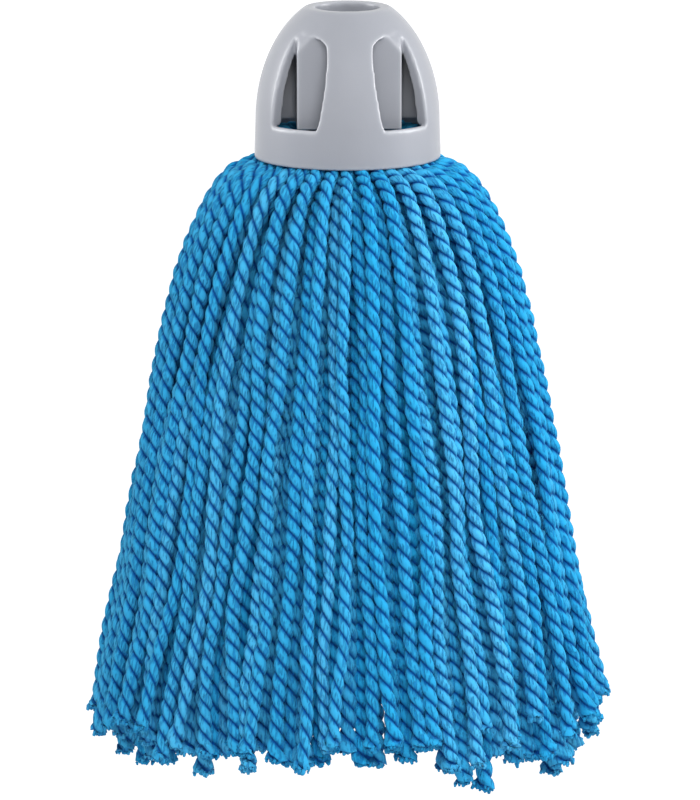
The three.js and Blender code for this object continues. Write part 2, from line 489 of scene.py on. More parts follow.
@dataclass(frozen=True)
class TapeFinish:
    """Plain woven cotton tape."""

    name: str = "woven cotton tape"
    colour: Point = (0.74, 0.74, 0.70)
    threads_per_metre: float = 1400.0
    threads_round: int = 90
    thread_height: float = 0.1 * MM

    def build(self) -> bpy.types.Material:
        """Makes the material.

        Returns:
            The material.
        """
        material, board, shader = new_material(self.name)
        spot = board.add("ShaderNodeTexCoord").outputs["Object"]
        height = board.add("ShaderNodeSeparateXYZ", {0: spot}).outputs
        turn = board.math("ARCTAN2", height["Y"], height["X"])
        warp = board.math("SINE", board.times(height["Z"], self.threads_per_metre * TAU / 2))
        weft = board.math("SINE", board.times(turn, self.threads_round))
        weave = board.times(warp, weft)
        share = board.math("ADD", 0.5, board.times(weave, 0.5))
        tone = board.mixed(share, (*[0.75 * c for c in self.colour], 1), (*self.colour, 1))
        board.feed(shader.inputs["Base Color"], tone)
        bump = board.add("ShaderNodeBump", {"Height": weave, "Distance": self.thread_height})
        board.feed(shader.inputs["Normal"], bump.outputs[0])
        shader.inputs["Roughness"].default_value = 0.9
        return material


# ---- The socket ----


@dataclass
class SocketMoulding:
    """The domed socket: a shell with four windows, a square core round the handle's tube, and four ribs.

    A window's outline and its centre are an angle from the front in degrees, and a height in millimetres.
    """

    finish: bpy.types.Material
    bore_mouth: float = 11.8 * MM
    bore_foot: float = 11.3 * MM
    bore_depth: float = 48 * MM
    tube_radius: float = 18 * MM
    tube_depth: float = 50 * MM
    core_half: float = 18.9 * MM
    core_depth: float = 42.3 * MM
    dome_radius: float = 33.4 * MM
    dome_drop: float = 41 * MM
    half_axis: float = 46.2 * MM
    dome_wall: float = 4.4 * MM
    collar_wall: float = 2.4 * MM
    draft: float = 0.4 * MM
    floor_hole: float = 3.6 * MM
    rib_thickness: float = 2 * MM
    crown_depth: float = 6.7 * MM
    voxel: float = 0.63 * MM
    rounding: int = 6
    # How far out a point must bend to take the full painted edge highlight.
    edge_highlight_bend: float = 0.11 * MM
    segments: int = 160
    window_centre: tuple[float, float] = (37, -25)
    window: Profile = field(default_factory=lambda: [
        (21.8, -41.0), (19.4, -34.5), (17.6, -26.0), (17.4, -19.0), (18.2, -14.0), (20.6, -11.0),
        (25.0, -9.6), (33.0, -8.6), (42.0, -7.8), (49.5, -7.2), (53.2, -8.6), (54.6, -13.5),
        (55.2, -20.0), (56.0, -29.0), (57.4, -41.0),
    ])

    def dome(self, height: float, inset: float = 0.0) -> float:
        """The radius of the dome's outline, set in by inset, at a height."""
        share = (height + self.dome_drop) / (self.half_axis - 0.4 * inset)
        return (self.dome_radius - inset) * math.sqrt(1 - share * share)

    def outline(self, top: float, inset: float, steps: int = 28) -> Profile:
        """Points down the dome from a height to the collar, closer together near the top."""
        heights = [top + (-self.dome_drop - top) * (i / steps) ** 1.3 for i in range(steps + 1)]
        return [(self.dome(height, inset), height) for height in heights]

    def shell(self) -> bpy.types.Object:
        """The turned body: dome, collar and tube in one.

        Returns:
            A closed solid.
        """
        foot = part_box("socket")[0][2]
        profile = [
            (self.floor_hole, -self.tube_depth),
            (self.tube_radius, -self.tube_depth),
            *self.outline(-self.crown_depth, self.dome_wall),
            (self.dome_radius - self.collar_wall, -self.dome_drop),
            (self.dome_radius + self.draft - self.collar_wall, foot),
            (self.dome_radius + self.draft, foot),
            *reversed(self.outline(0.0, 0.0)),
            (self.bore_mouth, 0.0),
            (self.bore_foot, -self.bore_depth),
            (self.floor_hole, -self.bore_depth),
        ]
        return lathe("socket_shell", profile, self.segments)

    def core(self) -> bpy.types.Object:
        """The square block round the tube, with its corners cut off by the dome at the top.

        Returns:
            A closed solid.
        """
        overlap = 2 * MM
        shape = bmesh.new()
        bmesh.ops.create_cube(shape, size=1)
        stretch = Matrix.Diagonal((2 * self.core_half, 2 * self.core_half, self.core_depth, 1))
        shape.transform(Matrix.Translation((0, 0, -self.core_depth / 2)) @ stretch)
        inside = self.tube_radius - overlap
        below = -self.core_depth - overlap
        crown = [point for point in reversed(self.outline(0.0, 0.3 * MM)) if point[0] > inside]
        profile = [(inside, below), (self.dome_radius, below), *crown, (inside, crown[-1][1])]
        within = lathe("socket_within", profile, self.segments)
        return combined(closed("socket_core", shape), "INTERSECT", [within])

    def cutter(self, across: int, back: int) -> bpy.types.Object:
        """The block that cuts one window.

        Args:
            across: 1 for the right-hand windows, -1 for the left.
            back: 1 for the front windows, -1 for the back.

        Returns:
            A closed solid with the window's outline, bent round the axis.
        """
        loop_points, foot_steps, clearance = 60, 12, 0.25 * MM
        loop = smooth_curve(self.window, loop_points)
        (first, low), (last, _) = self.window[0], self.window[-1]
        foot = [(first + (last - first) * k / foot_steps, low) for k in range(foot_steps - 1, 0, -1)]
        outline = [*map(tuple, loop), *foot, self.window_centre]
        turns = [(math.radians(angle), height * MM) for angle, height in outline]
        shape = bmesh.new()
        rings = []
        for radius in (self.tube_radius + clearance, 2 * self.dome_radius):
            spots = [(across * radius * math.sin(a), -back * radius * math.cos(a), h) for a, h in turns]
            rings.append([shape.verts.new(spot) for spot in spots])
        count = len(turns) - 1
        for i in range(count):
            j = (i + 1) % count
            shape.faces.new((rings[0][i], rings[0][j], rings[1][j], rings[1][i]))
            for ring in rings:
                shape.faces.new((ring[i], ring[j], ring[count]))
        return closed("window_cutter", shape)

    def ribs(self) -> bpy.types.Object:
        """Four upright ribs between the tube and the dome, as separate closed blocks.

        Returns:
            The four in one object.
        """
        shape = bmesh.new()
        steps = 14
        half = self.rib_thickness / 2
        inner = self.tube_radius - 1.5 * MM
        into_wall = 0.8 * MM
        for turn in range(4):
            levels = []
            for i in range(steps + 1):
                height = -self.crown_depth - (self.dome_drop - self.crown_depth) * i / steps
                outer = self.dome(height, self.dome_wall) + into_wall
                corners = ((inner, -half), (outer, -half), (outer, half), (inner, half))
                spin = Matrix.Rotation(TAU * turn / 4, 3, "Z")
                levels.append([shape.verts.new(spin @ Vector((x, y, height))) for x, y in corners])
            for above, below in zip(levels, levels[1:]):
                for i in range(4):
                    j = (i + 1) % 4
                    shape.faces.new((above[i], above[j], below[j], below[i]))
            shape.faces.new(levels[0])
            shape.faces.new(levels[-1])
        return closed("socket_ribs", shape)

    def mask_edge_highlight(self, mesh: bpy.types.Mesh) -> None:
        """Stores how sharply each point bends outwards, from 0 to 1, as the attribute edge, the mask for a
        painted highlight on convex edges.

        Args:
            mesh: The mesh to mark.
        """
        count = len(mesh.vertices)
        spots = np.empty(count * 3)
        mesh.vertices.foreach_get("co", spots)
        spots = spots.reshape(-1, 3)
        normals = np.empty(count * 3, np.float32)
        mesh.vertex_normals.foreach_get("vector", normals)
        normals = normals.reshape(-1, 3)
        pairs = np.empty(len(mesh.edges) * 2, np.int32)
        mesh.edges.foreach_get("vertices", pairs)
        one, two = pairs.reshape(-1, 2).T
        near = np.bincount(one, minlength=count) + np.bincount(two, minlength=count)

        def spread(values: np.ndarray) -> np.ndarray:
            """The mean of each point's neighbours."""
            total = np.bincount(one, values[two], count) + np.bincount(two, values[one], count)
            return total / np.maximum(near, 1)

        middle = np.column_stack([spread(spots[:, k]) for k in range(3)])
        bend = np.einsum("ij,ij->i", spots - middle, normals)
        for _ in range(3):
            bend = 0.5 * bend + 0.5 * spread(bend)
        # The mask for the painted highlight on convex edges.
        edge = mesh.attributes.new("edge", "FLOAT", "POINT")
        edge.data.foreach_set("value", np.clip(bend / self.edge_highlight_bend, 0, 1))

    def build(self) -> bpy.types.Object:
        """Cuts the windows, joins the core and the ribs, and rounds every edge as a mould does.

        Returns:
            The finished socket, riding on the body socket.
        """
        cutters = [self.cutter(across, back) for across in (1, -1) for back in (1, -1)]
        rough = combined(self.shell(), "DIFFERENCE", cutters)
        merged = bmesh.new()
        merged.from_mesh(rough.data)
        for part in (self.core(), self.ribs()):
            merged.from_mesh(part.data)
            bpy.data.objects.remove(part)
        merged.to_mesh(rough.data)
        merged.free()
        skin = rough.modifiers.new("skin", "REMESH")
        skin.mode = "VOXEL"
        skin.voxel_size = self.voxel
        soften = rough.modifiers.new("rounding", "SMOOTH")
        soften.factor = 0.5
        soften.iterations = self.rounding
        piece = baked(rough, "socket_moulding")
        piece.data.shade_smooth()
        self.mask_edge_highlight(piece.data)
        piece.data.materials.clear()
        piece.data.materials.append(self.finish)
        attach(piece, "socket")
        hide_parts("socket")
        LOG.info("socket moulding: %d faces", len(piece.data.polygons))
        return piece


# ---- Twisted cord ----


@dataclass(frozen=True)
class CordMake:
    """How one length of cord is laid up."""

    diameter: float = 4.7 * MM
    pitch: float = 11.9 * MM
    phase: float = 0.0
    step: float = 1.05 * MM
    sides: int = 24
    groove_depth: float = 0.25
    groove_width: float = 0.28
    plumpness: float = 0.12
    flare: float = 0.5
    fray: float = 7 * MM
    ragged: float = 1.7 * MM
    squeeze: float = 0.74
    squeeze_length: float = 12 * MM
    bristles: int = 1
    seed: int = 0
    tint: float = 0.5


class CordMaker:
    """Makes plied cord along a path, with a Geometry Nodes tree that it builds once."""

    BUNCHING = 0.3
    # How far round from a groove the painted groove shade fades out.
    CREST_FROM = 0.8
    UNEVENNESS = 0.28
    # The tufts take only a little of the painted groove shade.
    TUFT_CREST = 0.85

    def __init__(self, finish: bpy.types.Material) -> None:
        """Builds the tree, for cord of the given finish.

        Args:
            finish: What every cord is made of.
        """
        self.finish = finish
        self.tree = bpy.data.node_groups.new("Plied cord", "GeometryNodeTree")
        made = self.tree.interface.new_socket
        made("Path", in_out="INPUT", socket_type="NodeSocketGeometry")
        for size in fields(CordMake):
            kind = "NodeSocketInt" if size.type is int else "NodeSocketFloat"
            made(self.titled(size.name), in_out="INPUT", socket_type=kind)
        made("Material", in_out="INPUT", socket_type="NodeSocketMaterial")
        made("Cord", in_out="OUTPUT", socket_type="NodeSocketGeometry")
        self.sockets = {item.name: item.identifier for item in self.tree.interface.items_tree}
        self.board = Board(self.tree)
        self.given = self.board.add("NodeGroupInput").outputs
        self.fill()

    def titled(self, name: str) -> str:
        """A field's name as the tree's input shows it, such as Groove Depth."""
        return name.replace("_", " ").title()

    def store(self, geometry: Feed, name: str, value: Feed, kind: str = "FLOAT") -> bpy.types.NodeSocket:
        """Stores a value on every point under a name.

        Args:
            geometry: The geometry to store it on.
            name: What the value is called.
            value: The value.
            kind: Its data type.

        Returns:
            The geometry with the value on it.
        """
        node = self.board.add("GeometryNodeStoreNamedAttribute", data_type=kind, domain="POINT")
        for key, fed in (("Geometry", geometry), ("Name", name), ("Value", value)):
            self.board.feed(node.inputs[key], fed)
        return node.outputs[0]

    def stored(self, name: str, kind: str = "FLOAT") -> bpy.types.NodeSocket:
        """Reads back a stored value."""
        return self.board.add("GeometryNodeInputNamedAttribute", {"Name": name}, data_type=kind).outputs[0]

    def section(self) -> bpy.types.NodeSocket:
        """The cord's cross-section: two plump plies with a groove on each side between them.

        Returns:
            A closed curve, with round and crest stored on its points; crest is the mask for the painted
            groove shade, 0 in a groove and 1 on a crest.
        """
        board, given = self.board, self.given
        circle = board.add("GeometryNodeCurvePrimitiveCircle", {"Resolution": given["Sides"], "Radius": 1.0})
        index = board.add("GeometryNodeInputIndex").outputs[0]
        even = board.math("DIVIDE", board.times(index, TAU), given["Sides"])
        bunch = board.times(board.math("SINE", board.times(even, 2.0)), self.BUNCHING)
        angle = board.math("SUBTRACT", even, bunch)
        sine = board.math("SINE", angle)
        cosine = board.math("COSINE", angle)
        near = board.math("DIVIDE", sine, given["Groove Width"])
        groove = board.math("EXPONENT", board.times(board.times(near, near), -1.0))
        swell = board.times(board.math("COSINE", board.times(angle, 2.0)), given["Plumpness"])
        dip = board.math("ADD", swell, board.times(groove, given["Groove Depth"]))
        radius = board.math("SUBTRACT", 1.0, dip)
        spot = board.combine(board.times(cosine, radius), board.times(sine, radius), 0.0)
        shaped = board.add("GeometryNodeSetPosition", {"Geometry": circle.outputs[0], "Position": spot})
        rounded = self.store(shaped.outputs[0], "round", board.combine(cosine, sine, 0.0), "FLOAT_VECTOR")
        # The mask for the painted groove shade: 0 in a groove, 1 on a crest.
        shade_free_share = board.ramp(board.math("ABSOLUTE", sine), (0.0, self.CREST_FROM), (0.0, 1.0), smooth=True)
        return self.store(rounded, "crest", shade_free_share)

    def fill(self) -> None:
        """Lays the tree's nodes: the path, its twist, the swept section, and the frayed end."""
        board, given = self.board, self.given
        steps = {"Curve": given["Path"], "Length": given["Step"]}
        path = board.add("GeometryNodeResampleCurve", steps, mode="LENGTH").outputs[0]
        done = board.add("GeometryNodeSplineParameter").outputs["Length"]
        length = board.add("GeometryNodeSplineLength").outputs["Length"]
        turns = board.math("DIVIDE", done, given["Pitch"])
        twist = board.math("ADD", board.times(turns, -TAU), given["Phase"])
        tangent = board.add("GeometryNodeInputTangent").outputs[0]
        rail = self.store(path, "along", done)
        rail = self.store(rail, "left", board.math("SUBTRACT", length, done))
        rail = self.store(rail, "twist", twist)
        rail = self.store(rail, "heading", tangent, "FLOAT_VECTOR")
        rail = board.add("GeometryNodeSetCurveTilt", {"Curve": rail, "Tilt": twist}).outputs[0]
        along = self.stored("along")
        left = self.stored("left")
        radius = board.times(given["Diameter"], 0.5)
        swept = board.add("GeometryNodeCurveToMesh", {
            "Curve": rail, "Profile Curve": self.section(),
            "Scale": board.times(self.body(along, left), radius), "Fill Caps": True,
        }).outputs[0]
        turned = board.add("ShaderNodeVectorRotate", {
            "Vector": self.stored("round", "FLOAT_VECTOR"), "Angle": self.stored("twist"),
        }, rotation_type="Z_AXIS").outputs[0]
        around = board.scaled(turned, radius)
        down = board.combine(0.0, 0.0, board.math("ADD", along, given["Seed"]))
        cord = self.store(swept, "fibre", board.vector("ADD", around, down), "FLOAT_VECTOR")
        cord = self.cut_unevenly(cord, around, left)
        joined = board.add("GeometryNodeJoinGeometry")
        for geometry in (self.brush(cord, rail, left), cord):
            board.feed(joined.inputs[0], geometry)
        tinted = self.store(joined.outputs[0], "tint", given["Tint"])
        smooth = board.add("GeometryNodeSetShadeSmooth", {"Geometry": tinted}).outputs[0]
        real = board.add("GeometryNodeRealizeInstances", {"Geometry": smooth}).outputs[0]
        dressed = board.add("GeometryNodeSetMaterial", {"Geometry": real, "Material": given["Material"]})
        board.add("NodeGroupOutput", {"Cord": dressed.outputs[0]})

    def body(self, along: Feed, left: Feed) -> bpy.types.NodeSocket:
        """How thick the cord is along its length: squeezed at its root, uneven, and flared at its cut end.

        Args:
            along: The length from the root, on every point.
            left: The length left to the cut end, on every point.

        Returns:
            The thickness, as a share of the cord's own.
        """
        board, given = self.board, self.given
        flare = board.ramp(left, (0.0, given["Fray"]), (given["Flare"], 0.0), smooth=True)
        pinch = board.ramp(along, (0.0, given["Squeeze Length"]), (given["Squeeze"], 1.0), smooth=True)
        drift = board.math("ADD", board.times(along, 80.0), board.times(given["Seed"], 3.7))
        wander = board.add("ShaderNodeTexNoise", {
            "W": drift, "Scale": 1.0, "Detail": 1.0,
        }, noise_dimensions="1D").outputs[0]
        uneven = board.math("ADD", 1 - self.UNEVENNESS / 2, board.times(wander, self.UNEVENNESS))
        return board.times(board.times(pinch, uneven), board.math("ADD", 1.0, flare))

    def cut_unevenly(self, cord: Feed, around: Feed, left: Feed) -> bpy.types.NodeSocket:
        """Pulls the last of the cord out in clumps, so that its cut end is ragged.

        Args:
            cord: The swept cord.
            around: Where each point lies round the cord, in metres.
            left: The length left to the cut end, on every point.

        Returns:
            The cord with its ragged end.
        """
        board, given = self.board, self.given
        clumps_per_metre, end_length, loose_by = 420.0, 2.4 * MM, 0.45 * MM
        shift = board.combine(board.times(given["Seed"], 1.37), 0.0, 0.0)
        spot = board.vector("ADD", board.vector("MULTIPLY", around, (clumps_per_metre,) * 3), shift)
        clump = board.noise(spot, 1.0, 2.0, 0.7)
        share = board.ramp(left, (0.0, given["Fray"]), (1.0, 0.0), smooth=True)
        pull = board.times(board.math("SUBTRACT", clump, 0.5), board.times(given["Ragged"], 3.2))
        heading = self.stored("heading", "FLOAT_VECTOR")
        forward = board.scaled(heading, board.times(pull, share))
        jag = board.add("FunctionNodeRandomValue", {
            0: (-loose_by,) * 3, 1: (loose_by,) * 3, "ID": board.add("GeometryNodeInputIndex").outputs[0],
            "Seed": given["Seed"],
        }, data_type="FLOAT_VECTOR").outputs[0]
        loose = board.scaled(jag, board.math("LESS_THAN", left, end_length))
        offset = board.vector("ADD", forward, loose)
        return board.add("GeometryNodeSetPosition", {"Geometry": cord, "Offset": offset}).outputs[0]

    def brush(self, cord: Feed, rail: Feed, left: Feed) -> bpy.types.NodeSocket:
        """The loose fibres at the cut end: short tufts that lean apart.

        Args:
            cord: The swept cord.
            rail: The cord's path.
            left: The length left to the cut end, on every point.

        Returns:
            The tufts, as real geometry.
        """
        board, given = self.board, self.given
        index = board.add("GeometryNodeInputIndex").outputs[0]
        here = board.add("GeometryNodeInputPosition").outputs[0]

        def draw(kind: str, lowest: Feed, highest: Feed, shift: int) -> bpy.types.NodeSocket:
            """Picks a number or a vector for each tuft, from its own seed.

            Args:
                kind: FLOAT or FLOAT_VECTOR.
                lowest: The least that it may be.
                highest: The most that it may be.
                shift: What sets this draw apart from the others.

            Returns:
                The value drawn for each tuft.
            """
            first, out = (0, 0) if kind == "FLOAT_VECTOR" else (2, 1)
            seed = board.math("ADD", given["Seed"], shift)
            node = board.add("FunctionNodeRandomValue", {
                first: lowest, first + 1: highest, "ID": index, "Seed": seed,
            }, data_type=kind)
            return node.outputs[out]

        last = board.add("FunctionNodeCompare", {
            0: left, 1: 0.1 * MM,
        }, data_type="FLOAT", operation="LESS_THAN").outputs[0]
        spots = board.add("GeometryNodeMeshToPoints", {"Mesh": cord, "Selection": last}).outputs[0]
        more = board.add("GeometryNodeDuplicateElements", {
            "Geometry": spots, "Amount": given["Bristles"],
        }, domain="POINT").outputs[0]
        tip = board.add("GeometryNodeSampleCurve", {"Curves": rail, "Factor": 1.0}, mode="FACTOR")
        middle = tip.outputs["Position"]
        inward = draw("FLOAT", 0.05, 0.9, 0)
        spot = board.add("ShaderNodeMix", {0: inward, 4: here, 5: middle}, data_type="VECTOR").outputs[1]
        spread = board.add("GeometryNodeSetPosition", {"Geometry": more, "Position": spot}).outputs[0]
        lean = draw("FLOAT_VECTOR", (-0.5,) * 3, (0.5,) * 3, 7)
        way = board.vector("ADD", self.stored("heading", "FLOAT_VECTOR"), lean)
        turn = board.add("FunctionNodeAlignRotationToVector", {"Vector": way}, axis="Z").outputs[0]
        tuft = board.add("GeometryNodeMeshCone", {
            "Vertices": 6, "Radius Top": 0.42 * MM, "Radius Bottom": 0.8 * MM, "Depth": 1.5 * MM,
        }).outputs[0]
        placed = board.add("GeometryNodeInstanceOnPoints", {
            "Points": spread, "Instance": tuft, "Rotation": turn, "Scale": draw("FLOAT", 0.6, 1.3, 13),
        }).outputs[0]
        real = board.add("GeometryNodeRealizeInstances", {"Geometry": placed}).outputs[0]
        tufts_lightly_shaded = self.store(real, "crest", self.TUFT_CREST)
        return self.store(tufts_lightly_shaded, "fibre", here, "FLOAT_VECTOR")

    def lay(self, name: str, paths: list[np.ndarray], makes: list[CordMake]) -> bpy.types.Object:
        """Makes one piece of one or more lengths of cord.

        Args:
            name: The piece's name.
            paths: The points that each length follows, from its root to its cut end.
            makes: How each length is laid up.

        Returns:
            The piece, as a plain mesh.
        """
        parts = [self.one(f"{name}_{i}", path, make) for i, (path, make) in enumerate(zip(paths, makes))]
        if len(parts) > 1:
            first = {"active_object": parts[0], "object": parts[0]}
            with bpy.context.temp_override(selected_editable_objects=parts, **first):
                bpy.ops.object.join()
        parts[0].name = name
        return parts[0]

    def one(self, name: str, path: np.ndarray, make: CordMake) -> bpy.types.Object:
        """Makes a single length of cord as a plain mesh.

        Args:
            name: The object's name.
            path: The points that it follows.
            make: How it is laid up.

        Returns:
            The cord.
        """
        curve = bpy.data.curves.new(name, "CURVE")
        curve.dimensions = "3D"
        spline = curve.splines.new("POLY")
        spline.points.add(len(path) - 1)
        spline.points.foreach_set("co", np.column_stack([path, np.ones(len(path))]).ravel())
        carrier = bpy.data.objects.new(f"{name}_path", curve)
        bpy.context.scene.collection.objects.link(carrier)
        modifier = carrier.modifiers.new("plied cord", "NODES")
        modifier.node_group = self.tree
        for size in fields(CordMake):
            modifier[self.sockets[self.titled(size.name)]] = getattr(make, size.name)
        modifier[self.sockets["Material"]] = self.finish
        return baked(carrier, name)


# ---- The bell of hanging cords ----


class Row(Enum):
    """Which row a leg of cord hangs in. Each value is a route of (radius, height) in millimetres."""

    UPPER = (
        (25.0, -48.0), (27.0, -53.5), (30.5, -57.8), (35.0, -58.2), (39.2, -58.2), (43.2, -60.8),
        (47.0, -65.0), (52.5, -75.5), (58.8, -90.5), (62.6, -105.0), (67.2, -127.0), (72.8, -157.0),
        (80.6, -200.0), (86.8, -230.0), (93.5, -265.0),
    )
    LOWER = (
        (21.5, -48.0), (23.5, -56.0), (28.0, -62.0), (34.0, -63.8), (39.5, -66.2), (44.0, -71.5),
        (48.5, -80.0), (54.0, -93.5), (58.8, -108.0), (64.6, -130.0), (71.2, -158.0), (79.2, -201.0),
        (85.0, -231.0), (91.5, -266.0),
    )
    INNER = (
        (19.3, -50.0), (20.5, -58.0), (24.5, -67.0), (32.0, -77.0), (42.0, -92.0), (50.0, -112.0),
        (57.5, -138.0), (65.0, -170.0), (72.0, -205.0), (78.5, -240.0), (83.0, -282.0),
    )


@dataclass
class Leg:
    """One hanging leg of a folded cord."""

    row: Row
    angle: float
    node: str
    tuft: str
    path: np.ndarray


@dataclass
class YarnBell:
    """All the hanging cords, settled against each other and round the collar."""

    maker: CordMaker
    tufts: int = 12
    outer_per_tuft: int = 3
    inner_per_tuft: int = 8
    diameter: float = 4.7 * MM
    pitch: float = 11.9 * MM
    spacing: float = 4.5 * MM
    outer_uneven: float = 13 * MM
    inner_uneven: float = 22 * MM
    steps: int = 70
    seed: int = 11
    declared: int = 36
    overhang: float = 3.5 * MM
    bend_from: float = 30 * MM
    bend_to: float = 58 * MM
    bend_depth: float = 48 * MM
    legs: list[Leg] = field(default_factory=list)

    def hang(self) -> None:
        """Places every leg on its row's route, with a wander of its own and its own length."""
        rng = np.random.default_rng(self.seed)
        outer = self.tufts * self.outer_per_tuft
        for i in range(outer):
            centre = math.radians((i - 1) * 360 / outer - 90)
            tuft = f"tuft_{i // self.outer_per_tuft + 1:02d}"
            for row, side in ((Row.UPPER, -1), (Row.LOWER, 1)):
                angle = centre + side * math.radians(90 / outer)
                self.legs.append(self.leg(row, angle, f"outer_cord_{i + 1:02d}", tuft, rng))
        for k in range(self.tufts):
            node, tuft = f"inner_cord_{k + 1:02d}", f"tuft_{k + 1:02d}"
            for j in range(self.inner_per_tuft):
                side = (j + 0.5) / self.inner_per_tuft - 0.5
                angle = math.radians((k + side) * 360 / self.tufts - 90)
                self.legs.append(self.leg(Row.INNER, angle, node, tuft, rng))

    def leg(self, row: Row, angle: float, node: str, tuft: str, rng: np.random.Generator) -> Leg:
        """Makes one leg before it settles.

        Args:
            row: The row it hangs in.
            angle: Where it leaves the collar, in radians from +X.
            node: The solid that it stands for.
            tuft: The tuft that it hangs in, which groups the inner legs into pieces.
            rng: The source of its wander.

        Returns:
            The leg, with its path at even steps.
        """
        inner = row is Row.INNER
        route = smooth_curve(list(row.value), 400) * MM
        length = np.sum(np.linalg.norm(np.diff(route, axis=0), axis=1))
        shorter = self.inner_uneven * rng.uniform() ** 0.5 if inner else rng.uniform(0, self.outer_uneven)
        count = int((length - shorter) / self.spacing) + 1
        share = np.linspace(0, (length - shorter) / length, count)
        knots = np.linspace(0, 1, len(route))
        radius = np.interp(share, knots, route[:, 0])
        height = np.interp(share, knots, route[:, 1])
        free = np.clip((share - 0.12) / 0.5, 0, 1)
        tail = np.clip((share - 0.8) / 0.2, 0, 1) ** 2
        wave, phase = rng.uniform(0.8, 2.2, 2), rng.uniform(0, TAU, 3)
        slow = np.sin(share * TAU * wave[0] + phase[0])
        quick = np.sin(share * TAU * 2.7 * wave[1] + phase[1])
        sway = 1.8 * (slow + 0.5 * quick)
        loose = 0.3 if inner else 1.0
        aside = loose * MM * (sway * free + rng.normal(0, 2.1) * tail + rng.normal(0, 1.6) * free)
        ripple = 1.1 * MM * np.sin(share * TAU * wave[1] + phase[2])
        flat = radius + (ripple * free + rng.normal(0, 2.5 * MM) * tail)
        turn = angle + aside / np.maximum(radius, 20 * MM)
        path = np.column_stack([flat * np.cos(turn), flat * np.sin(turn), height])
        return Leg(row, angle, node, tuft, path)

    def settle(self) -> None:
        """Pushes the legs apart until none lies in another, each with its root and its length kept."""
        pull_back, straighten, fixed_points = 0.05, 0.12, 8
        longest = max(len(leg.path) for leg in self.legs)
        points = np.zeros((len(self.legs), longest, 3))
        here = np.zeros((len(self.legs), longest), bool)
        for k, leg in enumerate(self.legs):
            count = len(leg.path)
            points[k, :count] = leg.path
            points[k, count:] = leg.path[-1]
            here[k, :count] = True
        target = points.copy()
        lift = np.clip((np.arange(longest) - 1) / fixed_points, 0, 1)
        reach = self.diameter * (0.8 + 0.28 * lift)
        for _ in range(self.steps):
            points += self.push(points, here, reach) * lift[None, :, None]
            points += pull_back * (target - points)
            bend = points[:, :-2] + points[:, 2:] - 2 * points[:, 1:-1]
            points[:, 1:-1] += straighten * lift[None, 1:-1, None] * bend
            self.clear_collar(points)
            self.keep_lengths(points)
        for k, leg in enumerate(self.legs):
            leg.path = points[k, : len(leg.path)]

    def push(self, points: np.ndarray, here: np.ndarray, reach: np.ndarray) -> np.ndarray:
        """Works out how far each point is pushed by the legs that come too near it.

        Args:
            points: Every leg's points, of shape (legs, points, 3).
            here: Which of them are real, because the legs differ in length.
            reach: How near two legs may come, at each point along them.

        Returns:
            The move of each point, held under a limit.
        """
        nearby, share, limit = 3, 0.35, 1.5 * MM
        total, longest, _ = points.shape
        apart = ~np.eye(total, dtype=bool)
        push = np.zeros_like(points)
        for shift in range(-nearby, nearby + 1):
            other = np.roll(points, -shift, axis=1)
            there = np.roll(here, -shift, axis=1)
            for i in range(max(0, -shift), longest - max(0, shift)):
                gap = points[:, None, i] - other[None, :, i]
                far = np.linalg.norm(gap, axis=2)
                close = (far < reach[i]) & apart & here[:, i][:, None] & there[:, i][None, :]
                if close.any():
                    weight = np.where(close, (reach[i] - far) / np.maximum(far, 1e-6), 0)
                    push[:, i] += share * np.einsum("ab,abc->ac", weight, gap)
        move = np.linalg.norm(push, axis=2, keepdims=True)
        return push * np.minimum(1, limit / np.maximum(move, 1e-9))

    def keep_lengths(self, points: np.ndarray) -> None:
        """Puts each point back at its own distance from the one before it, in place.

        Args:
            points: Every leg's points, of shape (legs, points, 3).
        """
        for i in range(2, points.shape[1]):
            step = points[:, i] - points[:, i - 1]
            size = np.linalg.norm(step, axis=1, keepdims=True)
            even = points[:, i - 1] + step * self.spacing / np.maximum(size, 1e-9)
            points[:, i] = np.where(size > 1e-9, even, points[:, i])

    def clear_collar(self, points: np.ndarray) -> None:
        """Keeps the legs that pass near the collar's wall below its lip, in place.

        Args:
            points: Every leg's points, of shape (legs, points, 3).
        """
        low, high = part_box("socket")
        wall = high[0] + 0.5 * self.diameter
        foot = low[2] - 0.45 * self.diameter
        flat = np.linalg.norm(points[:, :, :2], axis=2)
        under = (flat < wall) & (flat > high[0] - 4 * MM) & (points[:, :, 2] > foot)
        points[:, :, 2] = np.where(under, foot, points[:, :, 2])

    def build(self) -> list[bpy.types.Object]:
        """Hangs, settles and makes every leg.

        Returns:
            The pieces: one for each leg of the outer cords, and one for each tuft's inner cords.
        """
        self.hang()
        self.settle()
        rng = np.random.default_rng(self.seed + 1)
        pieces = []
        inner: dict[str, list[Leg]] = {}
        for k, leg in enumerate(self.legs):
            if leg.row is Row.INNER:
                inner.setdefault(leg.tuft, []).append(leg)
                continue
            name = f"{leg.node}_{leg.row.name.lower()}_leg"
            piece = self.maker.lay(name, [leg.path], [self.make(rng, k)])
            self.fasten(piece, leg)
            pieces.append(piece)
        for legs in inner.values():
            makes = [self.make(rng, 500 + i, coarse=True) for i in range(len(legs))]
            piece = self.maker.lay(f"{legs[0].node}_legs", [leg.path for leg in legs], makes)
            self.fasten(piece, legs[0])
            pieces.append(piece)
        LOG.info("yarn: %d pieces, %d faces", len(pieces), sum(len(p.data.polygons) for p in pieces))
        return pieces

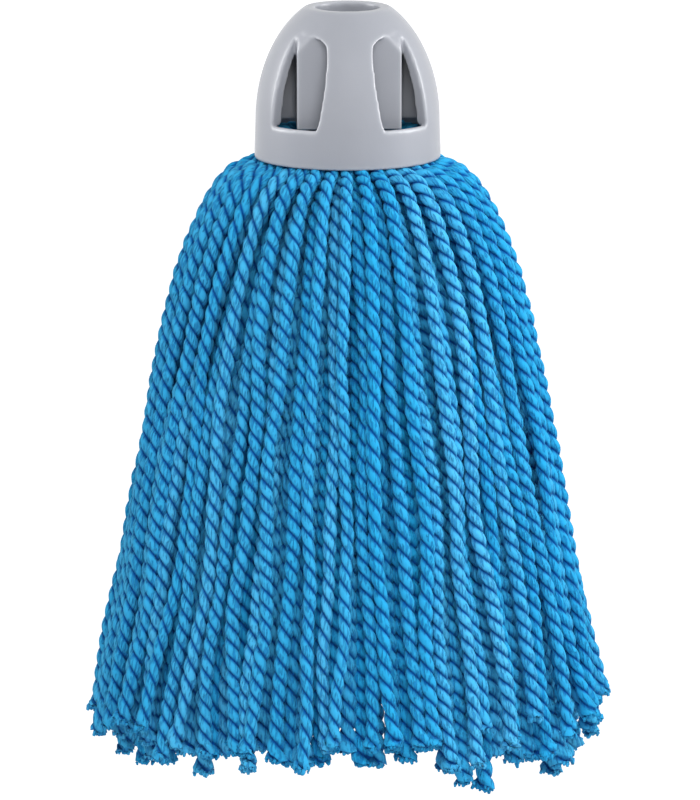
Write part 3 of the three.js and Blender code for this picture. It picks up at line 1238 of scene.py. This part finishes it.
    def make(self, rng: np.random.Generator, seed: int, coarse: bool = False) -> CordMake:
        """Picks how one leg is laid up, each a little different.

        Args:
            rng: The source of its differences.
            seed: Its own seed, for its noise.
            coarse: Whether it is one of the inner legs, with fewer and thicker turns.

        Returns:
            The make.
        """
        step, sides, loft = (1.4 * MM, 16, 1.27) if coarse else (1.05 * MM, 24, 1.0)
        return CordMake(
            diameter=loft * self.diameter * rng.uniform(0.92, 1.1), pitch=self.pitch * rng.uniform(0.92, 1.1),
            phase=rng.uniform(0, TAU), flare=rng.uniform(0.2, 0.42), seed=seed, tint=rng.uniform(0.1, 1.0),
            step=step, sides=sides,
        )

    def fasten(self, piece: bpy.types.Object, leg: Leg) -> None:
        """Bakes a piece's placement into its mesh, and hides the solid that it stands for.

        Args:
            piece: The piece.
            leg: The leg, or the first of the legs, that it shows.
        """
        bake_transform(piece)
        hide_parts(leg.node)


@dataclass
class FoldedYarn:
    """The folded middles of the cords, seen blue through the windows."""

    maker: CordMaker
    loops: int = 30
    diameter: float = 5.2 * MM
    sunk: float = 1.6 * MM
    inside_tape: float = 3.2 * MM
    tape_thickness: float = 0.6 * MM
    clearance: float = 0.3 * MM
    seed: int = 5

    def build(self) -> bpy.types.Object:
        """Makes a ring of folded loops over the tape.

        Returns:
            The piece, riding on the body socket.
        """
        low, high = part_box("yarn_header")
        rng = np.random.default_rng(self.seed)
        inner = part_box("header_tape")[1][0] - self.tape_thickness - self.inside_tape
        outer = high[0] - 0.5 * self.diameter - self.clearance
        top = high[2] - 0.5 * self.diameter - self.sunk
        middle, half = (inner + outer) / 2, (outer - inner) / 2
        sweep = np.linspace(math.pi, 0, 15)
        paths, makes = [], []
        for k in range(self.loops):
            angle = TAU * k / self.loops + rng.normal(0, 0.02)
            radius = [middle - half, *(middle + half * np.cos(sweep)), middle + half]
            height = [low[2] + 1 * MM, *(top - half + half * np.sin(sweep)), low[2] + 1 * MM]
            paths.append(np.array([polar(r, angle, h) for r, h in zip(radius, height)]))
            makes.append(CordMake(
                diameter=self.diameter, phase=rng.uniform(0, TAU), step=1.6 * MM, sides=14, squeeze=1.0,
                flare=0.0, bristles=0, seed=900 + k, tint=rng.uniform(0.2, 1),
            ))
        piece = self.maker.lay("folded_yarn", paths, makes)
        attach(piece, "socket")
        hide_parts("yarn_header")
        LOG.info("folded yarn: %d faces", len(piece.data.polygons))
        return piece


# ---- The studio ----


@dataclass(frozen=True)
class Lamp:
    """One soft square light, its power in watts, and what it may light."""

    name: str
    spot: Point
    size: float
    power: float
    mirrored: bool = True
    socket_only: bool = False


@dataclass
class Studio:
    """The plain floor, the soft lights and the camera."""

    lens: float = 800.0
    azimuth: float = -2.0
    elevation: float = 9.77
    view_height: float = 290.9 * MM
    aim: Point = (0.9 * MM, 0.0, -144.7 * MM)
    floor_drop: float = 400 * MM
    floor_reach: float = 15.0
    floor_glow: float = 0.42
    white: float = 1.06
    fill_light: float = 0.68
    lamps: tuple[Lamp, ...] = (
        Lamp("right", (0.55, -0.1, 0.1), 0.3, 2.4),
        Lamp("socket_left", (-0.5, 0.05, 0.1), 0.3, 1.85, socket_only=True),
        Lamp("socket_right", (0.5, 0.05, 0.1), 0.3, 0.4, socket_only=True),
        Lamp("front", (0.1, -1.15, 0.7), 0.7, 15, mirrored=False),
    )

    def camera(self) -> None:
        """Makes the camera: a long lens, a little above the level of the cords."""
        data = bpy.data.cameras.new("camera")
        data.lens = self.lens
        data.clip_end = 50
        camera = bpy.data.objects.new("camera", data)
        bpy.context.scene.collection.objects.link(camera)
        distance = self.view_height * self.lens / data.sensor_width
        turn, tilt = math.radians(self.azimuth), math.radians(self.elevation)
        away = Vector((math.sin(turn) * math.cos(tilt), -math.cos(turn) * math.cos(tilt), math.sin(tilt)))
        camera.location = Vector(self.aim) + away * distance
        camera.rotation_euler = (-away).to_track_quat("-Z", "Y").to_euler()
        bpy.context.scene.camera = camera

    def floor(self) -> None:
        """Makes the pale floor below the cords."""
        shape = bmesh.new()
        bmesh.ops.create_grid(shape, x_segments=1, y_segments=1, size=self.floor_reach)
        mesh = bpy.data.meshes.new("floor")
        shape.to_mesh(mesh)
        shape.free()
        mesh.transform(Matrix.Translation((0, 0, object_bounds()[0][2] - self.floor_drop)))
        floor = place("floor", mesh)
        material, board, shader = new_material("pale floor")
        board.feed(shader.inputs["Emission Color"], (1, 1, 1, 1))
        board.feed(shader.inputs["Emission Strength"], self.shown(board, self.floor_glow, 0.0))
        shader.inputs["Base Color"].default_value = (0.93, 0.93, 0.94, 1)
        shader.inputs["Roughness"].default_value = 0.8
        mesh.materials.append(material)
        floor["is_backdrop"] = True

    def shown(self, board: Board, seen: float, cast: float) -> bpy.types.NodeSocket:
        """A strength that is seen or mirrored as one value, and cast on matt surfaces as another."""
        ray = board.add("ShaderNodeLightPath").outputs["Is Diffuse Ray"]
        return board.ramp(ray, (0.0, 1.0), (seen, cast))

    def light(self, lamp: Lamp, lit: bpy.types.Collection) -> None:
        """Makes one lamp, aimed at the middle of the object.

        Args:
            lamp: The lamp to make.
            lit: What a lamp that is for the socket alone lights.
        """
        data = bpy.data.lights.new(lamp.name, "AREA")
        data.shape = "SQUARE"
        data.size = lamp.size
        data.energy = lamp.power
        made = bpy.data.objects.new(lamp.name, data)
        made.location = lamp.spot
        made.visible_glossy = lamp.mirrored
        made.visible_camera = False
        made.rotation_euler = (Vector(lamp.spot) - Vector(self.aim)).to_track_quat("Z", "Y").to_euler()
        if lamp.socket_only:
            made.light_linking.receiver_collection = lit
        bpy.context.scene.collection.objects.link(made)

    def surroundings(self) -> None:
        """Makes the white surroundings, which light the object less than they show."""
        world = bpy.data.worlds.new("studio")
        world.use_nodes = True
        white = world.node_tree.nodes["Background"].inputs
        board = Board(world.node_tree)
        board.feed(white["Color"], (1, 1, 1, 1))
        board.feed(white["Strength"], self.shown(board, self.white, self.fill_light))
        bpy.context.scene.world = world

    def build(self, socket: bpy.types.Object) -> None:
        """Sets up the camera, the floor, the lights and the pale surroundings.

        Args:
            socket: The socket moulding, which has small lamps of its own on both sides.
        """
        bpy.context.scene.view_settings.view_transform = "Standard"
        self.camera()
        self.floor()
        lit = bpy.data.collections.new("socket_lit")
        lit.objects.link(socket)
        for lamp in self.lamps:
            self.light(lamp, lit)
        self.surroundings()


def dress(node: str, material: bpy.types.Material) -> None:
    """Gives a carried-over solid its material.

    Args:
        node: The solid's node.
        material: What it is made of.
    """
    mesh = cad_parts[node].data
    mesh.materials.clear()
    mesh.materials.append(material)


def main() -> None:
    """Builds the whole mop head and its studio, and logs the face counts of the socket and the yarn."""
    logging.basicConfig(level=logging.INFO, format="%(name)s: %(message)s")
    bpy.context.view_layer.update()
    fibres, mould = fibre_group(), mould_group()
    grey, dark_grey = GREY_PLASTIC.build(mould), DARK_PLASTIC.build(mould)
    maker = CordMaker(YarnFinish().build(fibres))
    Studio().build(SocketMoulding(grey).build())
    dress("retainer_plug", dark_grey)
    dress("header_tape", TapeFinish().build())
    FoldedYarn(maker).build()
    YarnBell(maker).build()


if __name__ == "__main__":
    main()
